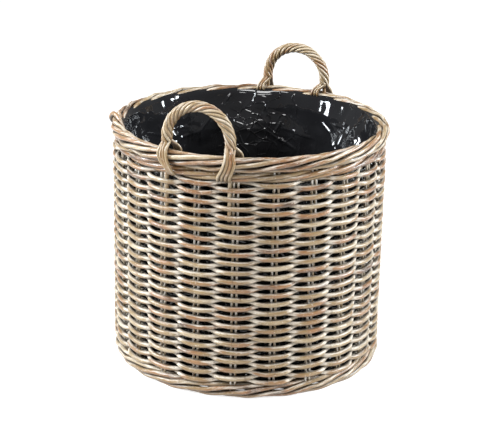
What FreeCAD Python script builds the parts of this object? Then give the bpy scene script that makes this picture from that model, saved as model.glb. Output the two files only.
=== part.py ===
import FreeCAD, Part
import math
import os

import Sketcher
from FreeCAD import Placement, Rotation, Vector

# A round wicker log basket with two roped handles and a film liner.
# Millimetres, +Z up. The origin is on the floor, in the middle of the foot ring.
# The front handle stands at -Y and the back handle at +Y.

SIZES = (
    # alias, value, what it measures
    ("rim_radius", 250.0, "outer radius of the rolled top border"),
    ("border_width", 24.0, "how thick the top border is across, from inside to outside"),
    ("border_height", 26.5, "how tall the top border is"),
    ("border_round", 9.0, "radius that rounds the top border's edges"),
    ("wall_radius", 246.0, "outer radius of the woven wall"),
    ("wall_thickness", 20.0, "cane behind the stakes, stakes and cane in front of them"),
    ("wale_radius", 248.0, "outer radius of the waling under the top border"),
    ("course_height", 8.2, "one row of weaving cane"),
    ("band_courses", 5, "rows in one band of siding"),
    ("band_count", 9, "bands of siding, one above the other"),
    ("wale_courses", 2, "rows of waling"),
    ("foot_height", 26.5, "how tall the foot border is"),
    ("foot_inset", 7.0, "how far the foot's underside stands in from the wall's face"),
    ("foot_curl", 14.0, "height over which the foot curls in"),
    ("stake_radius", 2.2, "one upright stake"),
    ("stake_spacing", 7.6, "between the two stakes of a pair, centre to centre"),
    ("stake_count", 22, "pairs of stakes round the basket"),
    ("stake_bottom", 12.0, "height at which the stakes start, inside the foot"),
    ("stake_top", 424.0, "height at which the stakes end, inside the top border"),
    ("handle_radius", 57.5, "radius of a handle's arch, at the middle of its rope"),
    ("handle_leg", 22.0, "straight leg between the rim and the arch"),
    ("rope_radius", 9.75, "outside of a handle's roping"),
    ("core_radius", 3.5, "bent rod inside a handle"),
    ("core_bottom", 326.0, "height down to which a handle's rod is tucked into the wall"),
    ("handle_plane", 232.0, "distance of a handle's plane from the basket's axis"),
    ("lashing_thickness", 6.0, "the layer of canes that binds a handle to the border"),
    ("lashing_angle", 6.4, "width of that layer, in degrees round the basket"),
    ("lashing_rise", 6.7, "how far that layer rises over the border"),
    ("lashing_tuck", 8.0, "height of its end, where it tucks in under the waling"),
    ("inner_lashing_drop", 7.0, "how far it goes down the border's inner face"),
    ("base_bottom", 7.0, "height of the woven base's underside"),
    ("base_thickness", 12.0, "the woven base"),
    ("slath_radius", 62.0, "the open middle of the woven base, where its sticks cross"),
    ("stick_count", 5, "base sticks each way"),
    ("stick_spacing", 11.0, "between neighbouring base sticks"),
    ("slit_stick_radius", 4.5, "a base stick that is slit to let the others through"),
    ("through_stick_radius", 3.0, "a base stick that passes through the slits"),
    ("stick_end", 6.0, "how far the base sticks stop short of the base's edge"),
    ("film_thickness", 0.6, "the liner, drawn thicker than its film so that it is a solid"),
    ("film_gap", 1.7, "between the liner and the wall"),
    ("film_rim_gap", 0.6, "between the liner and the top border's inner face"),
    ("film_neck", 8.0, "height over which the liner steps out to the top border's inner face"),
    ("film_hem_depth", 5.5, "how deep the liner's edge is caught in the top border"),
    ("film_hem_drop", 8.0, "from the rim's top down to the liner's caught edge"),
    ("clearance", 0.3, "between neighbouring pieces"),
)

# Sketch geometry is drawn near here first, and its constraints then move it into place.
START = 300.0
START_SPREAD = 50.0
START_RADIUS = 5.0

CUBIC_MM_PER_CM = 1000.0

doc = FreeCAD.newDocument("log_basket")
sheet = doc.addObject("Spreadsheet::Sheet", "Sizes")
for row, (alias, value, meaning) in enumerate(SIZES, start=1):
    sheet.set(f"A{row}", meaning)
    sheet.set(f"B{row}", str(value))
    sheet.setAlias(f"B{row}", alias)
doc.recompute()

# Heights and radii that follow from the sheet, as expressions.
CLEARANCE = "Sizes.clearance"
FOOT_TOP = "Sizes.foot_height"
BAND_HEIGHT = "Sizes.band_courses * Sizes.course_height"
SIDING_TOP = f"({FOOT_TOP} + Sizes.band_count * {BAND_HEIGHT})"
WALE_TOP = f"({SIDING_TOP} + Sizes.wale_courses * Sizes.course_height)"
RIM_TOP = f"({WALE_TOP} + Sizes.border_height)"
WALL_OUTSIDE = "Sizes.wall_radius"
WALL_INSIDE = "(Sizes.wall_radius - Sizes.wall_thickness)"
WALL_MIDDLE = "(Sizes.wall_radius - Sizes.wall_thickness / 2)"
BORDER_OUTSIDE = "Sizes.rim_radius"
BORDER_INSIDE = "(Sizes.rim_radius - Sizes.border_width)"
FILM = "Sizes.film_thickness"
HEM_BOTTOM = f"({RIM_TOP} - Sizes.film_hem_drop)"
# Half way round a quarter circle, a curve has this share of its radius still to go on each side.
HALF_WAY = "(1 - sqrt(0.5))"

sub_parts = []


def size(alias):
    """The value of one cell of the sheet."""
    return float(sheet.get(alias))


def keep(name, sub_part):
    """Label a finished sub-part, so that it is checked and written."""
    sub_part.Label = name
    sub_parts.append(sub_part)
    return sub_part


def origin_feature(body, role):
    return next(feature for feature in body.Origin.OriginFeatures if feature.Role == role)


def new_sketch(body, name, plane):
    sketch = body.newObject("Sketcher::SketchObject", name)
    sketch.AttachmentSupport = [(origin_feature(body, plane), "")]
    sketch.MapMode = "FlatFace"
    return sketch


def fix_point(sketch, geometry, point, across, up):
    """Hold a point at a place given as two expressions; a leading minus is the negative side."""
    origin = (-1, 1)
    here = sketch.getPoint(geometry, point)
    for kind, place, now in (("DistanceX", across, here.x), ("DistanceY", up, here.y)):
        ends = (*origin, geometry, point)
        if place.startswith("-"):
            ends = (geometry, point, *origin)
        index = sketch.addConstraint(Sketcher.Constraint(kind, *ends, abs(now)))
        sketch.setExpression(f"Constraints[{index}]", place.lstrip("-"))


def draw_outline(sketch, corners):
    """A closed outline of straight lines through the corners, each a pair of expressions."""
    count = len(corners)
    turn = [2 * math.pi * index / count for index in range(count)]
    start = [
        Vector(START + START_SPREAD * math.cos(angle), START + START_SPREAD * math.sin(angle), 0)
        for angle in turn
    ]
    for index in range(count):
        sketch.addGeometry(Part.LineSegment(start[index], start[(index + 1) % count]))
    for index in range(count):
        sketch.addConstraint(Sketcher.Constraint("Coincident", index, 2, (index + 1) % count, 1))
    for index, (across, up) in enumerate(corners):
        fix_point(sketch, index, 1, across, up)


def draw_circle(sketch, across, up, radius):
    """A circle whose middle and radius are expressions."""
    drawn = Part.Circle(Vector(START_SPREAD, START_SPREAD, 0), Vector(0, 0, 1), START_RADIUS)
    circle = sketch.addGeometry(drawn)
    fix_point(sketch, circle, 3, across, up)
    index = sketch.addConstraint(Sketcher.Constraint("Radius", circle, START_RADIUS))
    sketch.setExpression(f"Constraints[{index}]", radius)


def revolved_body(name, corners, angle="360"):
    """A body turned about the basket's axis from an outline of (radius, height) corners."""
    body = doc.addObject("PartDesign::Body", name)
    sketch = new_sketch(body, f"{name}_outline", "XZ_Plane")
    draw_outline(sketch, corners)
    turn = body.newObject("PartDesign::Revolution", f"{name}_turn")
    turn.Profile = sketch
    turn.ReferenceAxis = (sketch, ["V_Axis"])
    turn.Midplane = True
    turn.setExpression("Angle", angle)
    return body


def cut_upwards(body, name, circles, bottom, length):
    """Cut round channels upwards from a height; circles are (across, up, radius) expressions."""
    doc.recompute()
    before = body.Shape.Volume
    sketch = new_sketch(body, f"{name}_sketch", "XY_Plane")
    sketch.setExpression("AttachmentOffset.Base.z", bottom)
    for across, up, radius in circles:
        draw_circle(sketch, across, up, radius)
    pocket = body.newObject("PartDesign::Pocket", name)
    pocket.Profile = sketch
    pocket.Reversed = True
    pocket.setExpression("Length", length)
    doc.recompute()
    if not body.Shape.Volume < before:
        raise RuntimeError(f"{name} cuts nothing")
    return pocket


def cut_stake_channels(body, name):
    """The channels in which the stakes stand, two for each pair, from the front all round."""
    radius = f"Sizes.stake_radius + {CLEARANCE}"
    half = "Sizes.stake_spacing / 2"
    pair = ((half, f"-{WALL_MIDDLE}", radius), (f"-{half}", f"-{WALL_MIDDLE}", radius))
    bottom = f"Sizes.stake_bottom - {CLEARANCE}"
    length = f"Sizes.stake_top - Sizes.stake_bottom + 2 * {CLEARANCE}"
    pocket = cut_upwards(body, f"{name}_stake_channel", pair, bottom, length)
    pattern = body.newObject("PartDesign::PolarPattern", f"{name}_stake_channels")
    pattern.Originals = [pocket]
    pattern.Axis = (origin_feature(body, "Z_Axis"), [""])
    pattern.Angle = 360
    pattern.setExpression("Occurrences", "Sizes.stake_count")
    body.Tip = pattern


def cut_handle_channels(body, name):
    """The four channels in which the handles' rods are tucked, where this ring has them."""
    radius = f"Sizes.core_radius + {CLEARANCE}"
    legs = [
        (f"{side}Sizes.handle_radius", f"{end}Sizes.handle_plane", radius)
        for side in ("", "-")
        for end in ("", "-")
    ]
    bottom = f"Sizes.core_bottom - {CLEARANCE}"
    length = f"{RIM_TOP} - Sizes.core_bottom + 2 * {CLEARANCE}"
    cut_upwards(body, f"{name}_handle_channels", legs, bottom, length)


def ring(name, outside, inside, bottom, top):
    """A plain ring, given by expressions for its two radii and two heights."""
    return revolved_body(name, ((inside, bottom), (outside, bottom), (outside, top), (inside, top)))


def foot_border():
    """The rolled foot: flat where it stands on the floor, and curling in at its outer edge."""
    toe = f"({WALL_OUTSIDE} - Sizes.foot_inset)"
    body = revolved_body(
        "foot_border",
        (
            (WALL_INSIDE, "0"),
            (toe, "0"),
            (f"{WALL_OUTSIDE} - Sizes.foot_inset * {HALF_WAY}", f"Sizes.foot_curl * {HALF_WAY}"),
            (WALL_OUTSIDE, "Sizes.foot_curl"),
            (WALL_OUTSIDE, FOOT_TOP),
            (WALL_INSIDE, FOOT_TOP),
        ),
    )
    cut_stake_channels(body, "foot_border")
    keep("foot_border", body)


def siding_bands():
    """The side of the basket: bands of plain weave, each a few rows of cane."""
    for number in range(1, int(size("band_count")) + 1):
        name = f"siding_band_{number}"
        bottom = f"{FOOT_TOP} + {number - 1} * {BAND_HEIGHT}"
        top = f"{FOOT_TOP} + {number} * {BAND_HEIGHT}"
        body = ring(name, WALL_OUTSIDE, WALL_INSIDE, bottom, top)
        cut_stake_channels(body, name)
        band_top = size("foot_height") + number * size("band_courses") * size("course_height")
        if band_top > size("core_bottom"):
            cut_handle_channels(body, name)
        keep(name, body)


def upper_wale():
    """The waling that locks the weave under the border, a little proud of it."""
    body = ring("upper_wale", "Sizes.wale_radius", WALL_INSIDE, SIDING_TOP, WALE_TOP)
    cut_stake_channels(body, "upper_wale")
    cut_handle_channels(body, "upper_wale")
    keep("upper_wale", body)


def top_border():
    """The rolled border, with the slot that catches the liner's edge."""
    name = "top_border"
    body = ring(name, BORDER_OUTSIDE, BORDER_INSIDE, WALE_TOP, RIM_TOP)
    doc.recompute()
    plain = body.Tip
    rims = [
        f"Edge{number}"
        for number, edge in enumerate(plain.Shape.Edges, start=1)
        if isinstance(edge.Curve, Part.Circle)
    ]
    rounded = body.newObject("PartDesign::Fillet", f"{name}_round")
    rounded.Base = (plain, rims)
    rounded.setExpression("Radius", "Sizes.border_round")
    doc.recompute()
    before = body.Shape.Volume
    slot = new_sketch(body, f"{name}_slot_outline", "XZ_Plane")
    slot_inside = f"{BORDER_INSIDE} - Sizes.film_rim_gap"
    slot_outside = f"{BORDER_INSIDE} + Sizes.film_hem_depth"
    slot_bottom = f"{HEM_BOTTOM} - {CLEARANCE}"
    slot_top = f"{HEM_BOTTOM} + {FILM} + {CLEARANCE}"
    draw_outline(
        slot,
        (
            (slot_inside, slot_bottom),
            (slot_outside, slot_bottom),
            (slot_outside, slot_top),
            (slot_inside, slot_top),
        ),
    )
    groove = body.newObject("PartDesign::Groove", f"{name}_slot")
    groove.Profile = slot
    groove.ReferenceAxis = (slot, ["V_Axis"])
    groove.Angle = 360
    doc.recompute()
    if not body.Shape.Volume < before:
        raise RuntimeError("the liner's slot cuts nothing")
    cut_stake_channels(body, name)
    cut_handle_channels(body, name)
    keep(name, body)


def rod(name, radius, length, placement):
    """A straight round rod that starts at its placement and runs along its Z."""
    cylinder = doc.addObject("Part::Cylinder", name)
    cylinder.setExpression("Radius", radius)
    cylinder.setExpression("Height", length)
    cylinder.Placement = placement
    return cylinder


def stake_pairs():
    """The upright stakes, two side by side at each place; the first pair is at the front."""
    count = int(size("stake_count"))
    middle = size("wall_radius") - size("wall_thickness") / 2
    half = size("stake_spacing") / 2
    length = "Sizes.stake_top - Sizes.stake_bottom"
    for number in range(1, count + 1):
        name = f"stake_pair_{number:02d}"
        rods = [
            rod(
                f"{name}_{side}",
                "Sizes.stake_radius",
                length,
                Placement(Vector(offset, -middle, size("stake_bottom")), Rotation()),
            )
            for side, offset in (("left", -half), ("right", half))
        ]
        pair = doc.addObject("Part::Fuse", name)
        pair.Base, pair.Tool = rods
        pair.Placement = Placement(Vector(), Rotation(Vector(0, 0, 1), (number - 1) * 360 / count))
        keep(name, pair)


def parallel_rods(name, radius, turn):
    """The base sticks of one direction, in the base's middle plane."""
    reach = size("wall_radius") - size("wall_thickness") - size("stick_end")
    height = size("base_bottom") + size("base_thickness") / 2
    count = int(size("stick_count"))
    rods = []
    for number in range(count):
        place = Vector(-reach, (number - (count - 1) / 2) * size("stick_spacing"), height)
        along_x = Placement(place, Rotation(Vector(0, 1, 0), 90))
        turned = Placement(Vector(), Rotation(Vector(0, 0, 1), turn)).multiply(along_x)
        length = f"2 * ({WALL_INSIDE} - Sizes.stick_end)"
        rods.append(rod(f"{name}_{number + 1}", radius, length, turned))
    return rods


def joined(name, shapes):
    group = doc.addObject("Part::MultiFuse", name)
    group.Shapes = shapes
    return group


def cut_away(name, shape, tool):
    rest = doc.addObject("Part::Cut", name)
    rest.Base = shape
    rest.Tool = tool
    return rest


def base():
    """The woven base round its slath: sticks threaded through the slits of the crossing ones."""
    through = joined("base_through_sticks", parallel_rods("through", "Sizes.through_stick_radius", 0))
    slits = joined("slits", parallel_rods("slit", f"Sizes.through_stick_radius + {CLEARANCE}", 0))
    crossing = joined("crossing", parallel_rods("crossing", "Sizes.slit_stick_radius", 90))
    slit_sticks = cut_away("base_slit_sticks", crossing, slits)
    disc = ring(
        "base_disc",
        f"{WALL_INSIDE} - {CLEARANCE}",
        "Sizes.slath_radius",
        "Sizes.base_bottom",
        "Sizes.base_bottom + Sizes.base_thickness",
    )
    channels = joined(
        "base_channels",
        parallel_rods("channel_a", f"Sizes.through_stick_radius + {CLEARANCE}", 0)
        + parallel_rods("channel_b", f"Sizes.slit_stick_radius + {CLEARANCE}", 90),
    )
    weave = cut_away("base_weave", disc, channels)
    keep("base_through_sticks", through)
    keep("base_slit_sticks", slit_sticks)
    keep("base_weave", weave)


def liner():
    """The film bag that lines the basket, with its edge caught in the top border."""
    floor = f"Sizes.base_bottom + Sizes.base_thickness + {CLEARANCE}"
    wall = f"{WALL_INSIDE} - Sizes.film_gap"
    neck = f"{BORDER_INSIDE} - Sizes.film_rim_gap"
    corners = (
        ("0", floor),
        (wall, floor),
        (wall, WALE_TOP),
        (neck, f"{WALE_TOP} + Sizes.film_neck"),
        (neck, HEM_BOTTOM),
        (f"{BORDER_INSIDE} + Sizes.film_hem_depth - {CLEARANCE}", HEM_BOTTOM),
        (f"{BORDER_INSIDE} + Sizes.film_hem_depth - {CLEARANCE}", f"{HEM_BOTTOM} + {FILM}"),
        (f"{neck} - {FILM}", f"{HEM_BOTTOM} + {FILM}"),
        (f"{neck} - {FILM}", f"{WALE_TOP} + Sizes.film_neck"),
        (f"{wall} - {FILM}", WALE_TOP),
        (f"{wall} - {FILM}", f"{floor} + {FILM}"),
        ("0", f"{floor} + {FILM}"),
    )
    keep("liner", revolved_body("liner", corners))


def handle_path(body, name, bottom):
    """The handle's middle line: a leg, half a circle and a leg, in the front handle's plane."""
    radius = size("handle_radius")
    spring = f"({RIM_TOP} + Sizes.handle_leg)"
    path = new_sketch(body, f"{name}_path", "XZ_Plane")
    path.setExpression("AttachmentOffset.Base.z", "Sizes.handle_plane")
    low = START
    high = START + START_SPREAD
    arch = Part.ArcOfCircle(Part.Circle(Vector(0, high, 0), Vector(0, 0, 1), radius), 0, math.pi)
    path.addGeometry(Part.LineSegment(Vector(-radius, low, 0), Vector(-radius, high, 0)))
    path.addGeometry(arch)
    path.addGeometry(Part.LineSegment(Vector(radius, high, 0), Vector(radius, low, 0)))
    fix_point(path, 0, 1, "-Sizes.handle_radius", bottom)
    fix_point(path, 0, 2, "-Sizes.handle_radius", spring)
    fix_point(path, 2, 1, "Sizes.handle_radius", spring)
    fix_point(path, 2, 2, "Sizes.handle_radius", bottom)
    path.addConstraint(Sketcher.Constraint("Tangent", 0, 2, 1, 2))
    path.addConstraint(Sketcher.Constraint("Coincident", 1, 1, 2, 1))
    return path


def handle_piece(name, bottom, radii, turn):
    """A round section swept along a handle's middle line; two radii make it hollow."""
    body = doc.addObject("PartDesign::Body", name)
    path = handle_path(body, name, bottom)
    section = new_sketch(body, f"{name}_section", "XY_Plane")
    section.setExpression("AttachmentOffset.Base.z", bottom)
    for radius in radii:
        draw_circle(section, "-Sizes.handle_radius", "-Sizes.handle_plane", radius)
    pipe = body.newObject("PartDesign::AdditivePipe", f"{name}_pipe")
    pipe.Profile = section
    pipe.Spine = (path, ["Edge1", "Edge2", "Edge3"])
    body.Placement = Placement(Vector(), Rotation(Vector(0, 0, 1), turn))
    keep(name, body)


def lashing(name, corners, direction):
    """Canes that bind a leg to the border: an outline turned through a small angle."""
    body = revolved_body(name, corners, "Sizes.lashing_angle")
    body.Placement = Placement(Vector(), Rotation(Vector(0, 0, 1), direction))
    keep(name, body)


def outer_lashing_outline():
    """From the rope's outer side over the border, down its face and in under the waling."""
    leg = "sqrt(Sizes.handle_radius ^ 2 + Sizes.handle_plane ^ 2)"
    near = f"{BORDER_OUTSIDE} + {CLEARANCE}"
    far = f"{near} + Sizes.lashing_thickness"
    top = f"{RIM_TOP} + Sizes.lashing_rise"
    bevel = "Sizes.lashing_thickness / 2"
    tuck_top = f"{SIDING_TOP} - {CLEARANCE}"
    tuck_bottom = f"{SIDING_TOP} - Sizes.lashing_tuck"
    tuck_end = f"{WALL_OUTSIDE} + {CLEARANCE}"
    return (
        (f"{leg} + Sizes.rope_radius + {CLEARANCE}", f"{RIM_TOP} + {CLEARANCE}"),
        (f"{leg} + Sizes.rope_radius + {CLEARANCE}", top),
        (f"{far} - {bevel}", top),
        (far, f"{top} - {bevel}"),
        (far, f"{tuck_bottom} + {bevel}"),
        (f"{far} - {bevel}", tuck_bottom),
        (tuck_end, tuck_bottom),
        (tuck_end, tuck_top),
        (near, tuck_top),
        (near, f"{RIM_TOP} + {CLEARANCE}"),
    )


def inner_lashing_outline():
    """From the rope's inner side over the border and a little way down its inner face."""
    leg = "sqrt(Sizes.handle_radius ^ 2 + Sizes.handle_plane ^ 2)"
    rope_side = f"{leg} - Sizes.rope_radius - {CLEARANCE}"
    near = f"{BORDER_INSIDE} - {CLEARANCE}"
    far = f"{near} - Sizes.lashing_thickness"
    top = f"{RIM_TOP} + Sizes.lashing_rise"
    end = f"{RIM_TOP} - Sizes.inner_lashing_drop"
    bevel = "Sizes.lashing_thickness / 2"
    return (
        (rope_side, f"{RIM_TOP} + {CLEARANCE}"),
        (rope_side, top),
        (f"{far} + {bevel}", top),
        (far, f"{top} - {bevel}"),
        (far, end),
        (near, end),
        (near, f"{RIM_TOP} + {CLEARANCE}"),
    )


def handles():
    """Two roped handles, each a rod in a rope of canes, bound astride the border."""
    leg_angle = math.degrees(math.atan2(size("handle_radius"), size("handle_plane")))
    core_bottom = "Sizes.core_bottom"
    rope = ("Sizes.rope_radius", f"Sizes.core_radius + {CLEARANCE}")
    for end, turn in (("front", 0), ("back", 180)):
        handle_piece(f"{end}_handle_core", core_bottom, ("Sizes.core_radius",), turn)
        handle_piece(f"{end}_handle_roping", RIM_TOP, rope, turn)
        for side, sign in (("left", -1), ("right", 1)):
            direction = turn - 90 + sign * leg_angle
            lashing(f"{end}_{side}_outer_lashing", outer_lashing_outline(), direction)
            lashing(f"{end}_{side}_inner_lashing", inner_lashing_outline(), direction)


def write_parts():
    """Check every object and sub-part, then write one STEP file for each sub-part."""
    doc.recompute()
    for thing in doc.Objects:
        if {"Invalid", "Error"} & set(thing.State):
            raise RuntimeError(f"{thing.Name} failed: {thing.State}")
    for sub_part in sub_parts:
        if sub_part.Shape.isNull() or not sub_part.Shape.isValid():
            raise RuntimeError(f"{sub_part.Label} has no valid shape")
    os.makedirs("parts", exist_ok=True)
    for sub_part in sub_parts:
        sub_part.Shape.exportStep(f"parts/{sub_part.Label}.step")
        box = sub_part.Shape.BoundBox
        print(
            f"{sub_part.Label}: {len(sub_part.Shape.Solids)} solids,"
            f" {sub_part.Shape.Volume / CUBIC_MM_PER_CM:.1f} cm3, z {box.ZMin:.1f} to {box.ZMax:.1f}"
        )


foot_border()
siding_bands()
upper_wale()
top_border()
stake_pairs()
base()
liner()
handles()
write_parts()
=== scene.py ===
import math
import random

import bpy
import numpy as np
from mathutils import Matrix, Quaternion, Vector


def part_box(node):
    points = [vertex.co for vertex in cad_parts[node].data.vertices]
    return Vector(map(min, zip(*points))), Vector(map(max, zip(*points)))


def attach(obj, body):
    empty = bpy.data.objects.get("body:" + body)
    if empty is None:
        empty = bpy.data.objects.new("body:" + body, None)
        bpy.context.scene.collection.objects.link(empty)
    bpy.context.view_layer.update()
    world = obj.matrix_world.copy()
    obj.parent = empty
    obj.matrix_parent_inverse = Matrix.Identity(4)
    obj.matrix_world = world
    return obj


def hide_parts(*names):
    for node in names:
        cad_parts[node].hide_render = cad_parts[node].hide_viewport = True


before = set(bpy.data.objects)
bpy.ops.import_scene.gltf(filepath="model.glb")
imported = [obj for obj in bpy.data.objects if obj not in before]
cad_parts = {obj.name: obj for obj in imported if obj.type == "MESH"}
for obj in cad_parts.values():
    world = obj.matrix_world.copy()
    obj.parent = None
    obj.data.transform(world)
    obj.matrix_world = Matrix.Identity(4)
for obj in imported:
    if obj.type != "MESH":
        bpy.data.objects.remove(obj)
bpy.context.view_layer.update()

# A wicker log basket: woven siding over paired stakes, a waled and rolled rim, a rolled foot,
# two roped handles and a crinkled film liner. Metres, in the CAD model's frame.

MM = 0.001

# ---------------------------------------------------------------- sizes read from the frame

NODES = list(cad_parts)
BANDS = sorted(name for name in NODES if name.startswith("siding_band_"))
STAKES = sorted(name for name in NODES if name.startswith("stake_pair_"))
STAKE_COUNT = len(STAKES)
SPACING = 2 * math.pi / STAKE_COUNT

rim_low, rim_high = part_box("top_border")
wale_low, wale_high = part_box("upper_wale")
band_low, band_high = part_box(BANDS[0])
foot_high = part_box("foot_border")[1]
stake_low, stake_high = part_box("stake_pair_01")
rope_low, rope_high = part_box("front_handle_roping")
liner_low, liner_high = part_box("liner")
base_low, base_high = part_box("base_weave")

RIM_TOP = rim_high.z
RIM_BOTTOM = rim_low.z
RIM_RADIUS = rim_high.x
WALL_RADIUS = band_high.x
WALE_BOTTOM = wale_low.z
WALE_RADIUS = wale_high.x
FOOT_TOP = foot_high.z
STAKE_RADIUS = -(stake_low.y + stake_high.y) / 2
ROPE_RADIUS = (rope_high.y - rope_low.y) / 2
HANDLE_PLANE = -(rope_low.y + rope_high.y) / 2
HANDLE_RADIUS = (rope_high.x - rope_low.x) / 2 - ROPE_RADIUS
HANDLE_SPRING = rope_high.z - ROPE_RADIUS - HANDLE_RADIUS
LEG_ANGLE = math.atan2(HANDLE_RADIUS, HANDLE_PLANE)
LEG_RADIUS = math.hypot(HANDLE_RADIUS, HANDLE_PLANE)

# The liner's upper edge is caught in the rim, this far outside the rim's inner edge.
CAUGHT_EDGE = 5.2 * MM
RIM_INSIDE = liner_high.x - CAUGHT_EDGE

# ---------------------------------------------------------------- how the cane is worked

COURSES_PER_BAND = 5
COURSE = (band_high.z - band_low.z) / COURSES_PER_BAND
CANE_RADIUS = 4.2 * MM
WALE_CANE_RADIUS = 4.3 * MM
BORDER_CANE_RADIUS = 4.1 * MM
FRONT = -math.pi / 2

SAMPLES = 16  # points along a cane for each spacing of the stakes
CANE_SIDES = 12
CANE_END = (0.45, 0.8, 0.95)  # how the last rings of a cane narrow to its end
PHASES = 6.28  # random phases are drawn from about one whole turn
SHORT_PHASES = 6
WAVE_GAIN = 0.6


def noise_wave(angle, seed, waves, low=2, high=9):
    """A smooth random curve round the basket, within about -1 and 1, that meets itself."""
    draw = random.Random(seed)
    total = np.zeros_like(angle)
    for _ in range(waves):
        total += math.sqrt(2 / waves) * np.sin(draw.randint(low, high) * angle + draw.uniform(0, PHASES))
    return total * WAVE_GAIN


def around(radius, angle, height):
    """Points at these radii, angles and heights."""
    return np.stack([radius * np.cos(angle), radius * np.sin(angle), height + 0 * angle], axis=1)


def unit(vectors):
    return vectors / np.maximum(np.linalg.norm(vectors, axis=1, keepdims=True), 1e-12)


class Canes:
    """Round canes gathered into one mesh, with their length, girth and a number for each cane."""

    def __init__(self):
        self.points, self.faces, self.uvs, self.numbers = [], [], [], []
        self.total = 0

    def add(self, path, radius, outward, number, closed=False, sides=CANE_SIDES):
        """A cane along path; outward points away from what it is wound on."""
        count = len(path)
        if closed:
            tangent = unit(np.roll(path, -1, axis=0) - np.roll(path, 1, axis=0))
            step = np.linalg.norm(np.roll(path, -1, axis=0) - path, axis=1)
        else:
            tangent = unit(np.gradient(path, axis=0))
            step = np.linalg.norm(np.diff(path, axis=0), axis=1)
        normal = unit(outward - np.sum(outward * tangent, axis=1, keepdims=True) * tangent)
        side = np.cross(tangent, normal)
        radius = np.broadcast_to(np.asarray(radius, float), (count,)).copy()
        if not closed:
            for index, share in enumerate(CANE_END):
                radius[index] *= share
                radius[-1 - index] *= share
        turn = np.arange(sides) * 2 * math.pi / sides
        ring = (
            path[:, None, :]
            + radius[:, None, None] * np.cos(turn)[None, :, None] * normal[:, None, :]
            + radius[:, None, None] * np.sin(turn)[None, :, None] * side[:, None, :]
        )
        self.points.append(ring.reshape(-1, 3))
        along = np.concatenate([[0.0], np.cumsum(step)])
        rows = count if closed else count - 1
        first = self.total
        row, col = np.meshgrid(np.arange(rows), np.arange(sides), indexing="ij")
        row, col = row.ravel(), col.ravel()
        after, beside = (row + 1) % count, (col + 1) % sides
        quads = np.stack(
            [row * sides + col, row * sides + beside, after * sides + beside, after * sides + col], axis=1
        )
        self.faces.extend((quads + first).tolist())
        corner = np.stack([along[row], along[row], along[row + 1], along[row + 1]], axis=1)
        girth = np.stack([col, col + 1, col + 1, col], axis=1) / sides
        self.uvs.append(np.stack([corner, girth], axis=2).reshape(-1, 2))
        self.numbers.extend([number] * len(quads))
        if not closed:
            for start, order, place in ((0, -1, 0.0), ((count - 1) * sides, 1, along[-1])):
                cap = list(range(first + start, first + start + sides))[::order]
                self.faces.append(cap)
                self.uvs.append(np.tile([place, 0.5], (sides, 1)))
                self.numbers.append(number)
        self.total += count * sides

    def build(self, name, material, replaced):
        """The mesh object, riding on the basket and standing for the replaced nodes."""
        mesh = bpy.data.meshes.new(name)
        mesh.from_pydata(np.concatenate(self.points).tolist(), [], self.faces)
        mesh.uv_layers.new(name="cane")
        mesh.uv_layers["cane"].data.foreach_set("uv", np.concatenate(self.uvs).ravel())
        number = mesh.attributes.new("number", "FLOAT", "FACE")
        number.data.foreach_set("value", np.array(self.numbers, dtype=np.float32))
        mesh.shade_smooth()
        mesh.materials.append(material)
        piece = bpy.data.objects.new(name, mesh)
        bpy.context.collection.objects.link(piece)
        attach(piece, "root")
        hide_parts(*replaced)
        return piece


# ---------------------------------------------------------------- materials


class Nodes:
    """Short ways to add shader nodes to a new material."""

    def __init__(self, name):
        self.material = bpy.data.materials.new(name)
        self.material.use_nodes = True
        self.tree = self.material.node_tree
        self.shader = self.tree.nodes["Principled BSDF"]

    def add(self, kind, **settings):
        node = self.tree.nodes.new(f"ShaderNode{kind}")
        for key, value in settings.items():
            setattr(node, key, value)
        return node

    def link(self, output, target):
        self.tree.links.new(output, target)

    def feed(self, node, index, value):
        if hasattr(value, "links"):
            self.link(value, node.inputs[index])
        else:
            node.inputs[index].default_value = value

    def math(self, operation, first, second=0.0, clamp=False):
        node = self.add("Math", operation=operation, use_clamp=clamp)
        self.feed(node, 0, first)
        self.feed(node, 1, second)
        return node.outputs[0]

    def noise(self, vector, scale, detail=3.0, roughness=0.55):
        node = self.add("TexNoise")
        self.link(vector, node.inputs["Vector"])
        node.inputs["Scale"].default_value = scale
        node.inputs["Detail"].default_value = detail
        node.inputs["Roughness"].default_value = roughness
        return node.outputs["Fac"]

    def band(self, value, low, high, start=0.0, end=1.0):
        """Value stretched from low..high to start..end, and held inside them."""
        node = self.add("MapRange")
        self.link(value, node.inputs[0])
        for index, number in enumerate((low, high, start, end), start=1):
            node.inputs[index].default_value = number
        return node.outputs[0]

    def ramp(self, value, stops):
        node = self.add("ValToRGB")
        self.link(value, node.inputs[0])
        ramp = node.color_ramp
        while len(ramp.elements) < len(stops):
            ramp.elements.new(0.5)
        for element, (place, colour) in zip(ramp.elements, stops):
            element.position = place
            element.color = (*colour, 1.0)
        return node.outputs[0]

    def mix(self, share, first, second, blend="MIX"):
        node = self.add("Mix", data_type="RGBA", blend_type=blend)
        self.feed(node, 0, share)
        for socket, value in ((6, first), (7, second)):
            if hasattr(value, "links"):
                self.link(value, node.inputs[socket])
            else:
                node.inputs[socket].default_value = (*value, 1.0)
        return node.outputs[2]

    def swing(self, value, gain):
        """How far value lies from one half, times gain."""
        return self.math("MULTIPLY", self.math("SUBTRACT", value, 0.5), gain)

    def combine(self, *values):
        node = self.add("CombineXYZ")
        for index, value in enumerate(values):
            self.feed(node, index, value)
        return node.outputs[0]

    def bump(self, height, distance, strength=1.0, normal=None):
        node = self.add("Bump")
        node.inputs["Strength"].default_value = strength
        node.inputs["Distance"].default_value = distance
        self.link(height, node.inputs["Height"])
        if normal is not None:
            self.link(normal, node.inputs["Normal"])
        return node.outputs[0]


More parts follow.
